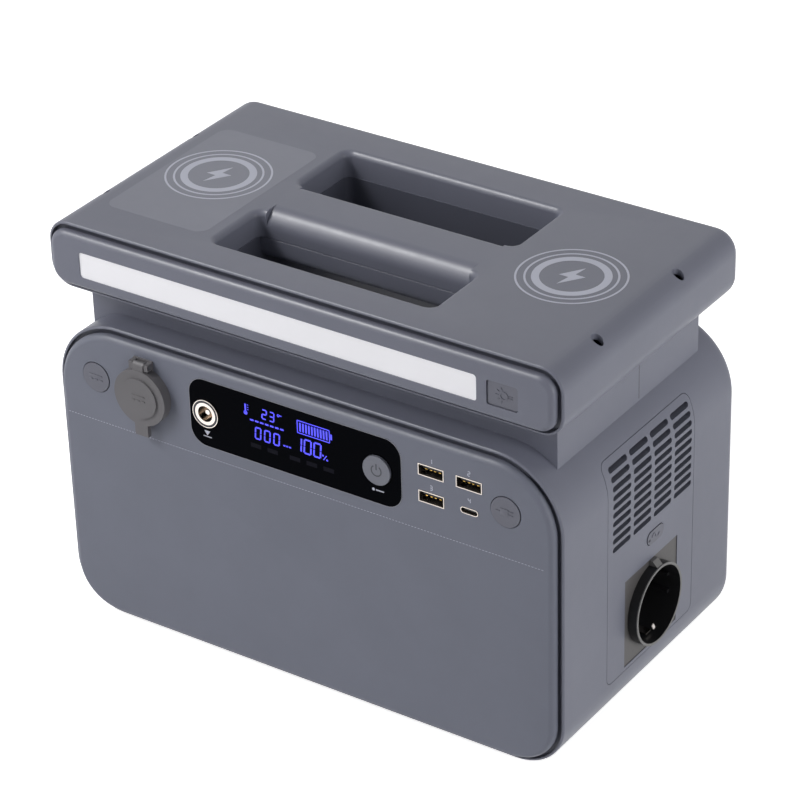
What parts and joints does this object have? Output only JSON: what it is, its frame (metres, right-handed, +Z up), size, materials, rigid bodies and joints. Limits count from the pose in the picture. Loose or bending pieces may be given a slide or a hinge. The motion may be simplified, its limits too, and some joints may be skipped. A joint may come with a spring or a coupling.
{
  "type": "portable power station",
  "caption": "Rounded grey power station with a flat carrying head over a waisted neck, hand pockets, light bar, front controls and a side outlet.",
  "frame": {"origin": "on the floor, under the middle of the whole object's width and depth, with the outlet's collar and the socket's cap counted in", "axes": "+Z up, front controls toward -Y, +X to the right seen from the front"},
  "size_m": [0.2734, 0.1578, 0.2055],
  "materials": {
    "shell": "fine texture, cool grey",
    "panel": "fine texture, cool grey",
    "key": "satin, cool grey",
    "power_key": "satin, light grey",
    "foot_rubber": "matte black",
    "cap_rubber": "matte warm grey",
    "lens": "frosted white",
    "window": "glossy black",
    "display": "dark blue liquid crystal",
    "port_steel": "bright",
    "socket_metal": "bright",
    "fixing_steel": "zinc plated",
    "dark_plastic": "black",
    "board": "green solder resist",
    "outlet_face": "warm grey",
    "outlet_black": "black",
    "contact_brass": "bright",
    "cell_can": "blue sleeve",
    "nickel": "nickel strip",
    "heatsink": "anodised",
    "winding": "yellow tape over windings",
    "capacitor": "dark sleeve",
    "coil_copper": "enamelled copper",
    "ferrite": "dark grey"
  },
  "bodies": {
    "housing": {"body_shell": "shell", "front_bezel": "shell", "front_panel": "panel", "rear_cover": "shell", "feet": "foot_rubber", "head_cover": "shell", "head_base": "shell", "head_fascia": "shell", "light_lens": "lens", "light_strip": "board", "handle_tub": "shell", "grip_insert": "shell", "vent_panel_right": "shell", "vent_panel_left": "shell", "outlet_plate": "outlet_face", "outlet_well": "outlet_black", "outlet_contacts": "contact_brass", "earth_clips": "socket_metal", "ac_switch_bracket": "board", "display_window": "window", "display_module": "display", "control_board": "board", "tact_switches": "dark_plastic", "input_jack": "socket_metal", "input_pin": "socket_metal", "car_socket": "socket_metal", "car_contact": "contact_brass", "socket_flange": "cap_rubber", "cap_pin": "fixing_steel", "port_shells": "port_steel", "port_tongues": "dark_plastic", "c_port_shell": "port_steel", "c_port_tongue": "dark_plastic", "pack_cradle": "dark_plastic", "cell_holder_front": "dark_plastic", "cell_holder_rear": "dark_plastic", "battery_cells": "cell_can", "busbars": "nickel", "power_deck": "dark_plastic", "battery_board": "board", "inverter_board": "board", "heatsinks": "heatsink", "transformer": "winding", "capacitors": "capacitor", "fan_frame_right": "dark_plastic", "fan_frame_left": "dark_plastic", "charging_coils": "coil_copper", "coil_shields": "ferrite", "head_screws": "fixing_steel", "rear_screws": "fixing_steel", "neck_screws": "fixing_steel"},
    "socket_cap": {"socket_cap": "cap_rubber"},
    "power_button": {"power_button": "power_key"},
    "dc_button": {"dc_button": "key"},
    "usb_button": {"usb_button": "key"},
    "ac_button": {"ac_button": "key"},
    "light_button": {"light_button": "key"},
    "fan_rotor_right": {"fan_rotor_right": "dark_plastic"},
    "fan_rotor_left": {"fan_rotor_left": "dark_plastic"}
  },
  "joints": [
    {"name": "cap_hinge", "type": "hinge", "parent": "housing", "child": "socket_cap", "pos_m": [-0.08455, -0.0761, 0.1483], "axis": [-1, 0, 0], "range_deg": [0, 135]},
    {"name": "power_button_press", "type": "slide", "parent": "housing", "child": "power_button", "axis": [0, 1, 0], "range_m": [0, 0.0012], "stiffness_N_per_m": 600, "springref_m": -0.0005},
    {"name": "dc_button_press", "type": "slide", "parent": "housing", "child": "dc_button", "axis": [0, 1, 0], "range_m": [0, 0.0012], "stiffness_N_per_m": 600, "springref_m": -0.0005},
    {"name": "usb_button_press", "type": "slide", "parent": "housing", "child": "usb_button", "axis": [0, 1, 0], "range_m": [0, 0.0012], "stiffness_N_per_m": 600, "springref_m": -0.0005},
    {"name": "light_button_press", "type": "slide", "parent": "housing", "child": "light_button", "axis": [0, 1, 0], "range_m": [0, 0.0012], "stiffness_N_per_m": 600, "springref_m": -0.0005},
    {"name": "ac_button_press", "type": "slide", "parent": "housing", "child": "ac_button", "axis": [-1, 0, 0], "range_m": [0, 0.0012], "stiffness_N_per_m": 600, "springref_m": -0.0005},
    {"name": "right_fan_spin", "type": "hinge", "parent": "housing", "child": "fan_rotor_right", "pos_m": [0.10875, 0.00315, 0.1179], "axis": [1, 0, 0], "continuous": true},
    {"name": "left_fan_spin", "type": "hinge", "parent": "housing", "child": "fan_rotor_left", "pos_m": [-0.11325, 0.00315, 0.1179], "axis": [1, 0, 0], "continuous": true}
  ]
}
